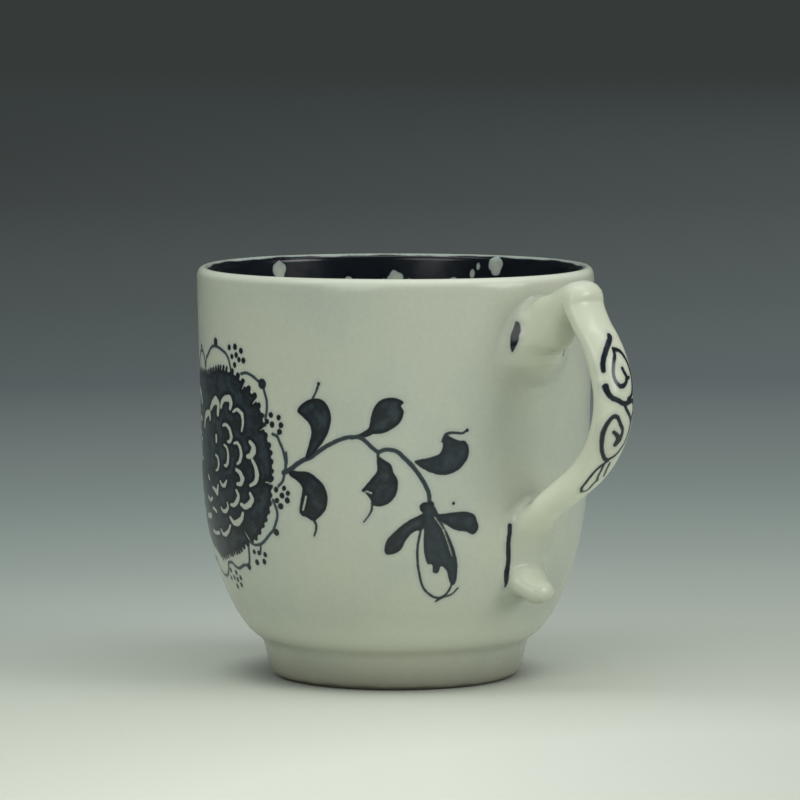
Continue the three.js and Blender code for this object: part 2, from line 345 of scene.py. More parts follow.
PETAL_GAPS = [  # width, and the centre line of the bare crescent
    (0.55, [(12.8, 8), (14.9, 8.4), (17.2, 7.8), (17.5, 6.5), (16.8, 5.3)]),
    (0.95, [(20.5, 3.8), (21.9, 3.1), (21.8, 2.4), (20.5, 1.7), (19.2, 1.6)]),
    (0.75, [(21.2, 1.2), (22.6, 0.2), (23.2, -1), (22.6, -2), (20.2, -2.7)]),
    (0.6, [(12.9, 3.3), (14.6, 3.4), (15.9, 2.7), (16.3, 1.7), (15.5, 0.7), (14.2, 0.3)]),
    (1, [(5.8, 8.4), (6.8, 9.3), (8.7, 9.8), (11, 9.9), (11.8, 9.3), (11.2, 8.4)]),
    (1.2, [(-2, 7.8), (0, 8.7), (2.3, 9.3), (3.9, 8.8), (3.5, 7.2)]),
    (1, [(-9.4, 4.7), (-8.4, 6), (-6.5, 6.8), (-3.3, 7.1), (-2.9, 6.2)]),
    (0.7, [(6.8, 5.7), (8.7, 5.9), (10.7, 5.2), (11.5, 4.2), (10.7, 3.5), (9.4, 3.4)]),
    (0.6, [(1.9, 3.9), (1.9, 3.1)]),
    (0.6, [(7.1, 2.8), (8.7, 2.5), (9.4, 1.5), (9.1, 0.3), (8.1, -0.3), (7, -0.2)]),
    (0.6, [(1, 1), (2.6, 0.7), (3.2, -0.2), (2.6, -1), (1.1, -1.3)]),
    (0.6, [(4, -2.8), (5.2, -3.3), (6.8, -3.3), (8.2, -2.5)]),
    (0.8, [(13.6, -0.6), (15.5, -1), (16.7, -1.8), (15.9, -2.6), (14.1, -2.7)]),
    (0.8, [(-2.1, -4), (-0.3, -4.3), (1.3, -4.7), (2.3, -3.5)]),
    (0.5, [(-7.8, -5.7), (-5.5, -6.1), (-3.3, -5.7)]),
    (0.7, [(10, -6), (11.6, -6), (13.6, -5.3), (14.4, -4.5), (13.4, -3.7)]),
    (0.85, [(15.5, -5.7), (17.2, -6), (19.5, -5.5), (20.8, -4.7), (20, -3.9)]),
    (0.5, [(-3.3, -7.2), (-2, -7.3), (-0.7, -7.6)]),
    (0.6, [(3.4, -6.7), (4.5, -7.2), (6.5, -7.2), (8.1, -6.5), (7.8, -5.8)]),
    (0.85, [(8.9, -8), (10.7, -8.7), (12.9, -8.6), (15.2, -7.8), (16, -7)]),
    (0.55, [(-6.5, -10.8), (-3.9, -11), (-0.7, -10.8)]),
    (0.65, [(1.3, -10.2), (2.3, -10.8), (4.2, -10.8), (6.5, -10.2), (8.4, -9.2)]),
    (0.8, [(-11, -8.7), (-8.8, -8.7), (-6.8, -8.5)]),
    (0.5, [(-6.2, -2.5), (-5.2, -2.9)]),
]
WIDER_PETALS = 8  # petals that start past this are drawn wider
PETALS_REPEATED = 7.5  # petals past this come again on the hidden side, mirrored about PETAL_MIRROR
PETAL_MIRROR = -3.5
DOTS_REPEATED = 18.5

# The sprig, in degrees round the cup and millimetres up
STEM_WIDTHS = (0.82, 0.7, 0.64, 0.62, 0.7, 0.66)
STEM = [
    (-78.7, 33.2), (-76.5, 33.7), (-74.3, 34.5), (-71.7, 35.3), (-70, 35.6), (-67.4, 36.5),
    (-65.1, 37.3), (-62.2, 38.1), (-59.3, 38.7), (-57, 38.9), (-54.5, 38.8), (-52.8, 38.2),
    (-50.9, 37.3), (-49.3, 36.8), (-47.8, 37.1), (-45.8, 37.1), (-43.9, 36.8), (-42, 35.9), (-40, 34.9),
    (-38.1, 33.7), (-35.8, 31.8), (-34.8, 30.5), (-34.7, 29.5),
]
LEAVES = [
    [(-71.5, 35.2), (-70.7, 36.7), (-69.7, 38.3), (-69.3, 39.7), (-70.1, 40.75), (-72, 41.6),
     (-73.6, 42.3), (-73.5, 42.8), (-72, 43.6), (-69.7, 44.25), (-66.5, 44.4), (-64.6, 43.8),
     (-63.3, 42.5), (-63.1, 41.3), (-63.75, 39.8), (-65.2, 38.3), (-67.2, 37), (-69.7, 35.3)],
    [(-77, 33.5), (-74.3, 33.6), (-70.1, 33.5), (-67.8, 32.8), (-65.5, 31.7), (-64.4, 30), (-64.9, 28.3),
     (-66.5, 27.2), (-69.1, 26.3), (-71, 26.7), (-73.3, 27.2), (-73.5, 28.2), (-72.8, 29.8),
     (-72.5, 31.2), (-74.3, 32.2), (-76.5, 32.8)],
    [(-55.1, 39.2), (-53.5, 39.8), (-52.2, 40.3), (-51.5, 41.9), (-50.7, 43.2), (-49.1, 44.25),
     (-47.1, 44.7), (-44.2, 44.7), (-42, 44), (-42.9, 43.6), (-42.1, 42.7), (-42.9, 41.3), (-44.9, 40.3),
     (-48.1, 39.5), (-50.8, 39.35), (-53.2, 38.9)],
    [(-49.6, 36.2), (-47.8, 35.7), (-45.7, 34.9), (-45, 33.8), (-43.9, 32.8), (-43.7, 31.8),
     (-44.5, 30.3), (-46.2, 29.3), (-48.8, 28.75), (-50.7, 28.9), (-51.9, 29.9), (-53.2, 30.7),
     (-54.3, 31), (-53.2, 31.8), (-51.2, 33), (-49.8, 34), (-49.9, 35.7)],
    [(-39.1, 35.4), (-37.3, 35.7), (-34.3, 36), (-31.8, 36.5), (-30.9, 37.4), (-30.9, 38.7),
     (-29.6, 39.2), (-28.9, 39), (-26.3, 38.4), (-24.1, 38.2), (-23, 37.1), (-23.2, 35.8), (-25.4, 34.3),
     (-28.1, 33.5), (-31.2, 33.3), (-34.3, 33.7), (-37.3, 34.5)],
    [(-37.4, 27.5), (-40.3, 26.8), (-42.6, 26), (-45.2, 24.8), (-47.1, 23.7), (-47.8, 22), (-47.1, 21.6),
     (-44.9, 21.7), (-42.9, 22.3), (-41.3, 23.8), (-39, 25), (-36.3, 25.4), (-35.8, 27.9)],
    [(-31.2, 27.6), (-28.1, 27.75), (-23.6, 27.8), (-21, 27.3), (-19.9, 26.2), (-19.4, 25.2),
     (-21, 24.3), (-23.2, 24.75), (-26.7, 25.1), (-29.4, 25.9), (-31.3, 26.5), (-32.6, 27.6)],
]
LEAF_TONES = (1, 1, 1, 0.94, 0.84, 0.9, 0.86)
BELL = [
    (-35.2, 29.4), (-36.6, 28.6), (-36.4, 27.2), (-36.2, 25.5), (-36.2, 23.3), (-35.8, 21.5),
    (-34.7, 20.1), (-33.4, 20), (-32.9, 18.8), (-31.4, 18.7), (-30.6, 19.7), (-28.9, 19.1),
    (-27.6, 17.4), (-26.7, 16.7), (-25.6, 17), (-25.2, 18.7), (-25.6, 20.5), (-27, 22.6), (-28.9, 24.6),
    (-31.2, 26.7), (-32.6, 28.3), (-33.8, 29.2),
]
SPRIG_LINES = [  # widths, points
    ((0.35, 0.4), [(-68.8, 44.3), (-67.5, 45.5), (-66.8, 46.6)]),
    ((0.5, 0.3), [(-69.1, 26.5), (-68.3, 25.8), (-68.5, 24.8), (-69.1, 24.1)]),
    ((0.5, 0.5), [(-49.3, 36.8), (-49.5, 36.1)]),
    ((0.4, 0.25), [(-51.2, 29.4), (-51.4, 28.2), (-52.5, 27.2), (-53.8, 26.4)]),
    ((0.5, 0.35), [(-30.9, 38.3), (-29.9, 39.3), (-27.6, 39.5), (-25, 39.4), (-23.6, 39.8)]),
    ((0.42, 0.4), [(-37.1, 25.3), (-37.9, 22.8), (-37.8, 20.3), (-37.1, 18.5), (-36, 16.7),
     (-34.3, 15.7), (-32, 15), (-30.1, 14.9), (-28.3, 15.4), (-27.2, 16.2), (-26.8, 16.8)]),
    ((0.35, 0.3), [(-31.4, 14.4), (-29.4, 14.9), (-26.3, 15.4), (-24.5, 16.3)]),
    ((0.6, 0.5), [(-57, 38.8), (-55, 39.1), (-53.6, 39.2)]),
]
SPRIG_DOTS = [
    (-36, 28.6, 0.8), (-34.4, 29, 0.6), (-27.5, 29.1, 0.25), (-66.8, 46.6, 0.28), (-23.6, 39.8, 0.27),
]
SPRIG_GAPS = [
    (0.28, [(-71.2, 29.9), (-71.7, 28.9), (-72.3, 27.9)]),
    (0.22, [(-53, 31), (-52.2, 30.9), (-51.4, 30.7)]),
    (0.16, [(-33.2, 27.2), (-30.6, 25.3), (-28.8, 23.2), (-27.4, 21.3)]),
]
TERMINAL_LINES = [  # the strokes beside the handle's ends: widths, points
    ((0.4, 0.7, 0.85, 0.85, 0.6, 0.2),
     [(-9.1, 55.4), (-9.45, 54.6), (-10, 53.7), (-10.4, 52.7), (-10.7, 51.8), (-10.8, 51.1)]),
    ((0.6, 0.7, 0.8, 0.75, 0.25), [(-9.35, 25.5), (-9.15, 22.7), (-8, 19.8), (-8.5, 18), (-8.2, 16.1)]),
]
SCROLL = [  # widths, points along and across the strap
    ((0.75, 0.65, 0.5), [(8.3, 0.35), (8.7, 0.12), (9.8, -1.02), (10.9, -1.94), (12, -2.47),
     (12.9, -2.58)]),
    (0.5, [(10.2, -0.05), (10.5, 1.04), (11.2, 1.82), (12.4, 2.5), (13.8, 2.85), (15.2, 2.75),
     (16.4, 2.25), (16.9, 1.29)]),
    (0.5, [(10.6, -0.1), (11, -0.15), (12, -0.79), (12.9, -1.14), (13.9, -1.25), (14.7, -0.91),
     (15.2, -0.22), (15, 0.71), (14.3, 1.35), (13.9, 1.29), (13.5, 0.97), (12.9, 0.69)]),
    (0.4, [(14.3, 1.11), (14.1, 2)]),
    ((0.65, 0.5), [(15, -2.62), (15.8, -2.44), (16.5, -1.91), (16.9, -0.87), (17.4, 0.34), (17.3, 1.26),
     (17.1, 2.52)]),
    (0.45, [(17.1, 2.52), (17.8, 2.95), (18.6, 2.95), (19.2, 2.65), (19.8, 2.42)]),
    (0.45, [(17.4, 0.33), (18.3, 1.04), (19.1, 1.9), (20, 2.49)]),
    (0.4, [(16.4, 3), (17.2, 3.2)]),
    (0.4, [(20, 2.45), (20.9, 2.45), (21.8, 2.42), (22.9, 2.2), (23.6, 1.76), (24.5, 1.13),
     (25.1, -0.08)]),
    (0.5, [(18.9, -1.2), (19.1, -1.75), (19.8, -2.28), (20.7, -2.56), (21.6, -2.61), (22.7, -2.4),
     (23.8, -1.96), (24.9, -1.01), (25.4, -0.05)]),
    (0.5, [(18.9, -1.3), (19.1, -0.82), (20, -0.08), (20.7, 0.57), (21.6, 0.76), (22.3, 0.66),
     (22.9, 0.08)]),
    ((0.4, 0.75), [(21, -1.12), (21.4, -0.41), (21.9, 0.08), (22.7, 0.01)]),
    (0.4, [(25.4, -0.05), (26.2, -0.91), (27.3, -1.32), (28.4, -1.42), (29.5, -1.37), (30.7, -1.21),
     (31.6, -0.52)]),
    (0.4, [(31.6, -0.52), (31.3, 0.39), (30.1, 0.33), (29.2, 0.42)]),
    (0.38, [(26, -0.42), (27.1, -0.21), (28.4, 0.12), (29.2, 0.66)]),
    (0.35, [(25.8, 0.67), (26.9, 0.88), (28.4, 1.49)]),
]

RIM_STROKE = [(8.6, 51.9), (8.2, 51.1), (7.5, 50.2)]  # beside the handle's upper end, on the other side

rng = np.random.default_rng(7)


def ring_reach(direction):
    table = np.array(RING_REACH)
    return np.interp((direction + 180) % 360 - 180, table[:, 0], table[:, 1])


def ray(direction, *distances):
    way = math.radians(direction)
    return [(r * math.cos(way) / DEG_MM, r * math.sin(way)) for r in distances]


def mirrored(points, about=0):
    return [(2 * about - a, *rest) for a, *rest in points]


def flower():
    sheet = Drawing(DEG_MM, FLOWER)
    directions = np.arange(-180, 180, 3)
    table = np.array(TEETH)
    reach = ring_reach(directions) - np.interp(directions, table[:, 0], table[:, 2])
    sheet.shape([ray(*pair)[0] for pair in zip(directions, reach)])
    # The ring's toothed edge
    direction = -180.0
    while direction < 179.5:
        _, spacing, depth = TEETH[np.searchsorted(table[:, 0], direction)]
        tip = ring_reach(direction) - spacing * 0.4 + rng.uniform(-0.12, 0.12) * depth
        ends = ray(direction, tip - depth - 0.5, tip)
        sheet.line(ends, (spacing * 0.98, spacing * rng.uniform(0.62, 0.8)), 0.95)
        direction += math.degrees(spacing * rng.uniform(0.88, 1.12) / 15)
    for direction, length in VEINS:
        tip = ring_reach(direction)
        sheet.gap(ray(direction, tip - 0.4, tip - 0.4 - length), (0.3, 0.1))
    for width, points in PETAL_GAPS:
        width *= INK_SPREAD if points[0][0] > WIDER_PETALS else 1.05
        tapered = width * 0.55
        middle = len(points) // 2
        if middle > 1:
            sheet.gap(points[: middle + 1], (tapered, width))
            sheet.gap(points[middle:], (width, tapered))
        else:
            sheet.gap(points, width)
        if np.mean([p[0] for p in points]) > PETALS_REPEATED:
            sheet.gap(mirrored(points, PETAL_MIRROR), width)
    hidden = [(mirrored(points), blob and mirrored([blob])[0]) for points, blob in SCALLOPS[1:]]
    for points, blob in SCALLOPS + SCALLOPS_SEEN + hidden:
        sheet.line(points, 0.5, 0.6)
        if blob:
            sheet.dot(blob[:2], blob[2], 0.85)
    for points in SCALLOP_ENDS:
        sheet.line(points, 0.45, 0.6)
    for across, up, radius in DOTS:
        sheet.dot((across, up), radius * INK_SPREAD)
        if across > DOTS_REPEATED:
            sheet.dot((-across, up), radius * INK_SPREAD)
    return sheet


def sprig():
    sheet = Drawing(DEG_MM)
    sheet.line(STEM, STEM_WIDTHS, 0.7)
    for outline, tone in zip(LEAVES, LEAF_TONES):
        sheet.shape(outline, tone)
    sheet.shape(BELL, 0.8)
    for width, points in SPRIG_GAPS:
        sheet.gap(points, width)
    for width, points in SPRIG_LINES:
        sheet.line(points, width, 0.75)
    for angle, height, radius in SPRIG_DOTS:
        sheet.dot((angle, height), radius)
    return sheet


def wall_drawing():
    sheet = Drawing(DEG_MM)
    one_sprig = sprig()
    sheet.marks += flower().marks + one_sprig.marks
    sheet.added(one_sprig, FLOWER[0])
    for width, points in TERMINAL_LINES:
        sheet.line(points, width, 1.0)
    sheet.line(RIM_STROKE, (0.2, 0.5), 0.7)
    return sheet


def strap_drawing():
    sheet = Drawing(1)
    for width, points in SCROLL:
        sheet.line(points, np.array(width) * SCROLL_SPREAD, 0.85)
    return sheet


BAND_TOP = 61.75
BAND_BOTTOM = 53.2
LINE_BELOW = 1.1  # from the band's lower edge down to the narrow line
INSIDE_DEG_MM = 0.487  # millimetres along the inside of the wall for one degree
FAR_SIDE = 135.5  # the part of the inside that the photograph shows
# Degrees from even spacing, and how far down the largest petal sits, for each group of petals.
RESERVES = [
    (-0.2, 3.4), (4.2, 1.5), (3.2, 2.1), (-1.5, 1.6), (2, 2.2), (-2, 1.4), (1, 1.9), (3, 1.5),
    (-3, 2.3), (2.1, 0.8),
]
# Across, up, half width, half height.
SIDE_PETALS = [(0, -4.7, 0.5, 1.0), (-2.0, -4.5, 0.4, 0.8), (2.0, -4.5, 0.4, 0.8), (7.5, -4.2, 0.9, 0.8)]
ADDED_PETALS = [(3.1, -1.6, 0.3, 0.55), (4.1, -2.8, 0.4, 0.7)]


def band_distance(angle, height):
    """The painted band inside the lip, with bare round reserves and small petals between them."""
    wave = 0.12 * np.sin(np.radians(angle * 11)) + 0.07 * np.sin(np.radians(angle * 29 + 40))
    band = np.maximum(height - (BAND_TOP + wave * 0.6), (BAND_BOTTOM + wave) - height)
    line = np.abs(height - (BAND_BOTTOM - LINE_BELOW + wave * 0.5)) - 0.2
    gaps = np.full(len(angle), 9.0)
    for k, (shift, drop) in enumerate(RESERVES):
        middle = FAR_SIDE + 360 / len(RESERVES) * k + shift
        x = ((angle - middle + 180) % 360 - 180) * INSIDE_DEG_MM
        added = ADDED_PETALS if k % 5 == 4 else []
        for dx, dz, rx, rz in [*added, (0, -drop - 0.6, 1.25, 1.5), *SIDE_PETALS]:
            away = np.hypot((x - dx) / rx, (height - BAND_TOP - dz) / rz) - 1
            away += 0.16 * np.sin(3.1 * x + 2 * k) * np.sin(2.3 * height + k)
            gaps = np.minimum(gaps, away * min(rx, rz))
    return np.clip(np.minimum(np.maximum(band, -gaps), line), -INK_REACH, INK_REACH)


# Meshes


def linked(name, data):
    made = bpy.data.objects.new(name, data)
    bpy.context.scene.collection.objects.link(made)
    return made


def inset(share):
    """Keeps a texture coordinate clear of its edge."""
    return 0.003 + 0.994 * share


def make_object(name, points, faces, uvs, values=None, normals=None):
    """A mesh object from millimetres about the cup's axis. uvs has a row for each corner of a face."""
    points = np.asarray(points, float) + (AXIS_X, 0, 0)
    mesh = bpy.data.meshes.new(name)
    mesh.from_pydata((points * MM).tolist(), [], faces)
    mesh.shade_smooth()
    for key, column in (values or {}).items():
        layer = mesh.attributes.new(key, "FLOAT", "POINT")
        layer.data.foreach_set("value", np.asarray(column, np.float32))
    layer = mesh.uv_layers.new(name="OFBake")
    layer.uv.foreach_set("vector", np.asarray(uvs, np.float32).ravel())
    if normals is not None:
        mesh.normals_split_custom_set_from_vertices(normals.tolist())
    mesh.update()
    return linked(name, mesh)


def quads(rows, columns, wraps):
    """The faces of a grid of points given row by row, and the (column, row) of each face's corners."""
    wide = columns if wraps else columns + 1
    corners = [
        [(j, i), (j + 1, i), (j + 1, i + 1), (j, i + 1)] for i in range(rows) for j in range(columns)
    ]
    return [[i * wide + j % wide for j, i in corner] for corner in corners], corners


def resampled(profile):
    """Places along the profile, closer together where it bends, and the length at each of its points."""
    step = np.linalg.norm(np.diff(profile, axis=0), axis=1)
    length = np.concatenate([[0], np.cumsum(step)])
    fine = np.arange(0, length[-1], 0.05)
    line = np.column_stack([np.interp(fine, length, profile[:, k]) for k in (0, 1)])
    heading = np.unwrap(np.arctan2(*np.gradient(line, axis=0).T[::-1]))
    soft = np.convolve(np.pad(heading, 8, mode="edge"), np.ones(17) / 17, "valid")
    stations, last = [0.0], 0
    for k in range(1, len(fine)):
        bend = abs(soft[k] - soft[last])
        if fine[k] - fine[last] >= COARSE_ROW or bend >= COARSE_TURN:
            stations.append(fine[k])
            last = k
    stations[-1] = length[-1]
    return np.array(stations), length


def bowl():
    profile = bowl_profile()
    stations, length = resampled(profile)
    splits = np.maximum(1, np.round(np.diff(stations) / FINE_ROW).astype(int))
    starts = np.concatenate([[0], np.cumsum(splits)])
    place = np.concatenate(
        [np.linspace(a, b, n, endpoint=False) for a, b, n in zip(stations, stations[1:], splits)]
        + [stations[-1:]]
    )

    def on_profile(s):
        return (np.interp(s, length, column) for column in profile.T)

    _, height = on_profile(place)
    lip_place = length[np.argmax(profile[:, 1])]
    around = COLUMNS * SPLIT
    sheet = wall_drawing()

    def paint(rows, columns):
        angle = columns * 360 / around - 180
        z, s = height[rows], place[rows]
        outside, tone = sheet.measure(angle, z)
        inside = np.where(s > lip_place + BARE_INSIDE, band_distance(angle, z), INK_REACH)
        edge = np.where(s < lip_place - BARE_OUTSIDE, outside, inside)
        return edge, np.where(s > lip_place, INSIDE_TONE, tone)

    # A block is split where an edge of the paint may cross it.
    rows, columns = len(splits), COLUMNS
    quarters = np.linspace(0, 1, 5)
    row_of, column_of = np.divmod(np.arange(rows * columns), columns)
    near = np.full(rows * columns, INK_REACH)
    for up, along in [(a, b) for a in quarters for b in quarters]:
        r = (starts[row_of] + np.round(up * splits[row_of])).astype(int)
        c = (column_of * SPLIT + round(along * SPLIT)) % around
        near = np.minimum(near, np.abs(paint(r, c)[0]))
    split = (near < SPLIT_NEAR).reshape(rows, columns)

    faces, corners = [], []
    for i in range(rows):
        low, high = starts[i], starts[i + 1]
        for j in range(columns):
            left, right = j * SPLIT, (j + 1) * SPLIT
            if split[i, j]:
                for a in range(low, high):
                    for b in range(left, right):
                        corners.append([(a, b), (a, b + 1), (a + 1, b + 1), (a + 1, b)])
                continue
            ring = [(low, b) for b in (range(left, right) if i and split[i - 1, j] else (left,))]
            ring += [(a, right) for a in (range(low, high) if split[i, (j + 1) % columns] else (low,))]
            above = i + 1 < rows and split[i + 1, j]
            ring += [(high, b) for b in (range(right, left, -1) if above else (right,))]
            ring += [(a, left) for a in (range(high, low, -1) if split[i, j - 1] else (high,))]
            if len(ring) == 4:
                corners.append(ring)
                continue
            middle = ((low + high) / 2, (left + right) / 2)
            corners += [[a, b, middle] for a, b in zip(ring, ring[1:] + ring[:1])]

    # Both ends of the profile are points on the axis.
    table, keys = {}, []

    def vertex(row, column):
        column = column % around
        if row in (0, starts[-1]):
            column = 0
        key = (row, column)
        if key not in table:
            table[key] = len(keys)
            keys.append(key)
        return table[key]

    uvs = []
    strip, index = place[-1], np.arange(len(place))
    for corner in corners:
        face = [vertex(*c) for c in corner]
        kept = [k for k in range(len(face)) if face[k] != face[k - 1]]
        if len(kept) < 3:
            continue
        faces.append([face[k] for k in kept])
        uvs += [
            (inset(corner[k][1] / around), inset(np.interp(corner[k][0], index, place) / strip))
            for k in kept
        ]
    row, column = np.array(keys, float).T
    s = np.interp(row, index, place)
    r, z = on_profile(s)
    angle = column * 2 * math.pi / around - math.pi
    flat = (r + wobble(angle, z))[:, None] * np.column_stack([np.cos(angle), np.sin(angle)])
    points = np.column_stack([flat, z - lip_dip(angle, z)])
    before, after = (on_profile(np.clip(s + step, 0, strip)) for step in (-0.06, 0.06))
    dr, dz = (b - a for a, b in zip(before, after))
    size = np.maximum(np.hypot(dr, dz), 1e-9)
    normals = np.column_stack([dz / size * np.cos(angle), dz / size * np.sin(angle), -dr / size])
    normals[r < 1e-6] = (0, 0, -1)
    normals[(r < 1e-6) & (z > RECESS_HEIGHT)] = (0, 0, 1)
    edge, tone = paint(np.round(row).astype(int), column)
    return make_object("bowl", points, faces, uvs, {"ink_edge": edge, "ink_tone": tone}, normals)


def turned(name, profile, count):
    """A piece turned about the axis from (radius, height) points."""
    step = np.linalg.norm(np.diff(profile, axis=0), axis=1)
    v = np.concatenate([[0], np.cumsum(step)]) / step.sum()
    turn = np.arange(count) * 2 * math.pi / count
    points = [(r * math.cos(a), r * math.sin(a), z) for r, z in profile for a in turn]
    faces, corners = quads(len(profile) - 1, count, wraps=True)
    uvs = [(inset(j / count), inset(v[i])) for corner in corners for j, i in corner]
    return make_object(name, points, faces, uvs)


def foot():
    """The foot ring, turned down to a narrow rounded rest, with a cove of glaze under the bowl."""
    outline = [
        (20.9, 6.22), (20.5, 5.86), (20.22, 5.5), (20.0, 5.0), (19.86, 4.5), (19.6, 3.4), (19.3, 2.2),
        (19.05, 1.35), (18.8, 0.85), (18.45, 0.42), (18.0, 0.12), (17.5, 0.0), (16.9, 0.0),
        (16.3, 0.1), (16.02, 0.34), (15.9, 0.7), (15.82, 2.0), (15.76, 3.8), (15.62, 5.2),
        (15.3, 5.9), (14.9, 6.5),
    ]
    return turned("foot", spline(outline, 0.18), 240)


# Handle

# Beyond the wall, height, share of the thickness, share of the width, squareness of the section, and
# how much thicker the outer half is.
STRAP = [
    (-0.9, 47.8, 0.4, 1.15, 2.2, 1), (-0.75, 49.8, 0.8, 1.3, 2.2, 1), (-0.3, 52, 1.05, 1.3, 2.2, 1),
    (0.9, 53.8, 1.4, 1.24, 2.3, 1), (3.2, 55.65, 1.9, 1.14, 2.3, 1), (5.8, 57.65, 1.3, 1.06, 2.3, 1.02),
    (8, 58.95, 1.1, 1.05, 2.35, 1.16), (8.5, 58.9, 1.1, 1.04, 2.35, 1.33),
    (9.25, 57.75, 0.95, 1.03, 2.3, 1.1), (11, 55.1, 0.92, 1, 2.2, 1.02),
    (12.6, 53.05, 0.97, 1, 2.15, 1.02), (14.35, 49.8, 1.05, 1, 2.25, 1),
    (15.5, 45.5, 1, 1, 2.25, 1), (15.25, 41.2, 1, 1, 2.25, 1), (13.6, 37.2, 0.95, 1, 2.25, 1),
    (10.8, 33.8, 0.95, 1, 2.25, 1), (7.2, 31, 0.95, 0.97, 2.25, 1), (3.5, 28.4, 0.9, 0.97, 2.25, 1),
    (0.9, 25.9, 0.75, 1, 2.2, 1), (-0.7, 23.2, 0.5, 1, 2.1, 1), (-1.5, 20.6, 0.5, 0.75, 2, 1),
    (-0.9, 18.5, 0.55, 0.75, 2, 1), (0.9, 16.75, 0.88, 0.85, 2, 1), (2.9, 15.65, 0.98, 0.85, 2, 1),
    (4.8, 14.9, 0.78, 0.62, 2, 1), (5.6, 14.5, 0.35, 0.3, 2, 1),
]
THUMB_REST = 6  # its row above
SIDES = 96
SCROLL_SHIFT = (0.5, 0.2)  # from the strap's own millimetres, along and across, to the drawing's
SCROLL_SPREAD = 1.27
# How near the wall the strap swells, how far at most, and the most that changes from point to point.
NEAR_WALL = 8
MOST_SWELL = 3.2
SWELL_CLIMB = 0.4
# The most a pad stands out, the most it changes from point to point, and the spacing of its points.
MOST_PAD = 5
PAD_CLIMB = 1.0
PAD_GRID = 0.25


class Strap:
    """The middle line of the strap in the XZ plane, with the size of its section at each point."""

    def __init__(self, step):
        rows = np.array(STRAP)
        rows[:, 0] += wall_radius(rows[:, 1])
        line = spline(rows * (1, 1, STRAP_HALF_THICKNESS, STRAP_HALF_WIDTH, 1, 1), step)
        self.middle = line[:, :2]
        self.thick, self.wide, self.power, self.lift = line[:, 2:].T
        way = np.gradient(self.middle, axis=0)
        self.along = way / np.linalg.norm(way, axis=1)[:, None]
        self.out = np.column_stack([-self.along[:, 1], self.along[:, 0]])
        run = np.linalg.norm(np.diff(self.middle, axis=0), axis=1)
        self.place = np.concatenate([[0], np.cumsum(run)])
        rest = np.linalg.norm(self.middle - rows[THUMB_REST, :2], axis=1).argmin()
        self.place -= self.place[rest] - SCROLL_SHIFT[0]
        self.shape = line[:, 2:]
        self.shape_slope = np.gradient(self.shape, self.place, axis=0)

    def distance(self, points):
        """Roughly how far each point is outside the strap."""
        flat = points[:, ::2]
        k = np.concatenate([
            ((part[:, None] - self.middle[None]) ** 2).sum(2).argmin(1)
            for part in np.array_split(flat, max(1, len(flat) // 4000))
        ])
        rel = flat - self.middle[k]
        a = (rel * self.out[k]).sum(1)
        past = (rel * self.along[k]).sum(1)
        y = points[:, 1]
        from_middle = np.maximum(np.hypot(a, y), 1e-6)
        beyond = np.clip(past, -0.2, 0.2)[:, None]
        thick, wide, power, lift = (self.shape[k] + self.shape_slope[k] * beyond).T
        thick = np.where(a > 0, thick * lift, thick)
        share = (np.abs(a / thick) ** power + np.abs(y / wide) ** power) ** (1 / power)
        away = from_middle * (1 - 1 / np.maximum(share, 0.05))
        ends = (k == 0) | (k == len(self.middle) - 1)
        return np.where(ends, np.hypot(np.maximum(away, 0), past), away)

    def joined(self, points):
        """Distance outside the wall and strap run softly into each other."""
        return soft_min(wall_distance(points), self.distance(points), points)

    def joined_normals(self, points):
        steps = np.eye(3) * 0.12
        slope = np.column_stack([self.joined(points + d) - self.joined(points - d) for d in steps])
        return slope / np.maximum(np.linalg.norm(slope, axis=1), 1e-9)[:, None]


def wall_distance(points):
    out, _ = wall_normal(points[:, 2])
    return (np.hypot(points[:, 0], points[:, 1]) - wall_radius(points[:, 2])) * out


def soft_min(a, b, points):
    """The smaller distance, less where the two are alike, so that their solids run into each other."""
    table = np.array(BLEND_REACH)
    reach, added = (np.interp(points[:, 2], table[:, 0], table[:, k]) for k in (1, 2))
    reach = reach + added * np.exp(-((points[:, 1] / BLEND_HALF_WIDTH) ** 2))
    return np.minimum(a, b) - np.maximum(reach - np.abs(a - b), 0) ** 2 / (4 * reach)


def outermost(rises, count, top):
    """How far out the solid reaches without a break: up to where rises(far) first turns positive."""
    step = top / 16
    low, solid = np.zeros(count), np.ones(count, bool)
    for k in range(1, 17):
        solid &= rises(np.full(count, k * step)) < 0
        low[solid] = k * step
    high = np.minimum(low + step, top)
    for _ in range(8):
        middle = (low + high) / 2
        inside = rises(middle) < 0
        low, high = np.where(inside, middle, low), np.where(inside, high, middle)
    return low


def eased(heights, climb):
    """The heights lowered where needed, so that none is more than climb above the one beside it."""
    for _ in range(24):
        for lines in (heights, heights.T):
            lines[1:] = np.minimum(lines[1:], lines[:-1] + climb)
            lines[:-1] = np.minimum(lines[:-1], lines[1:] + climb)
    return heights


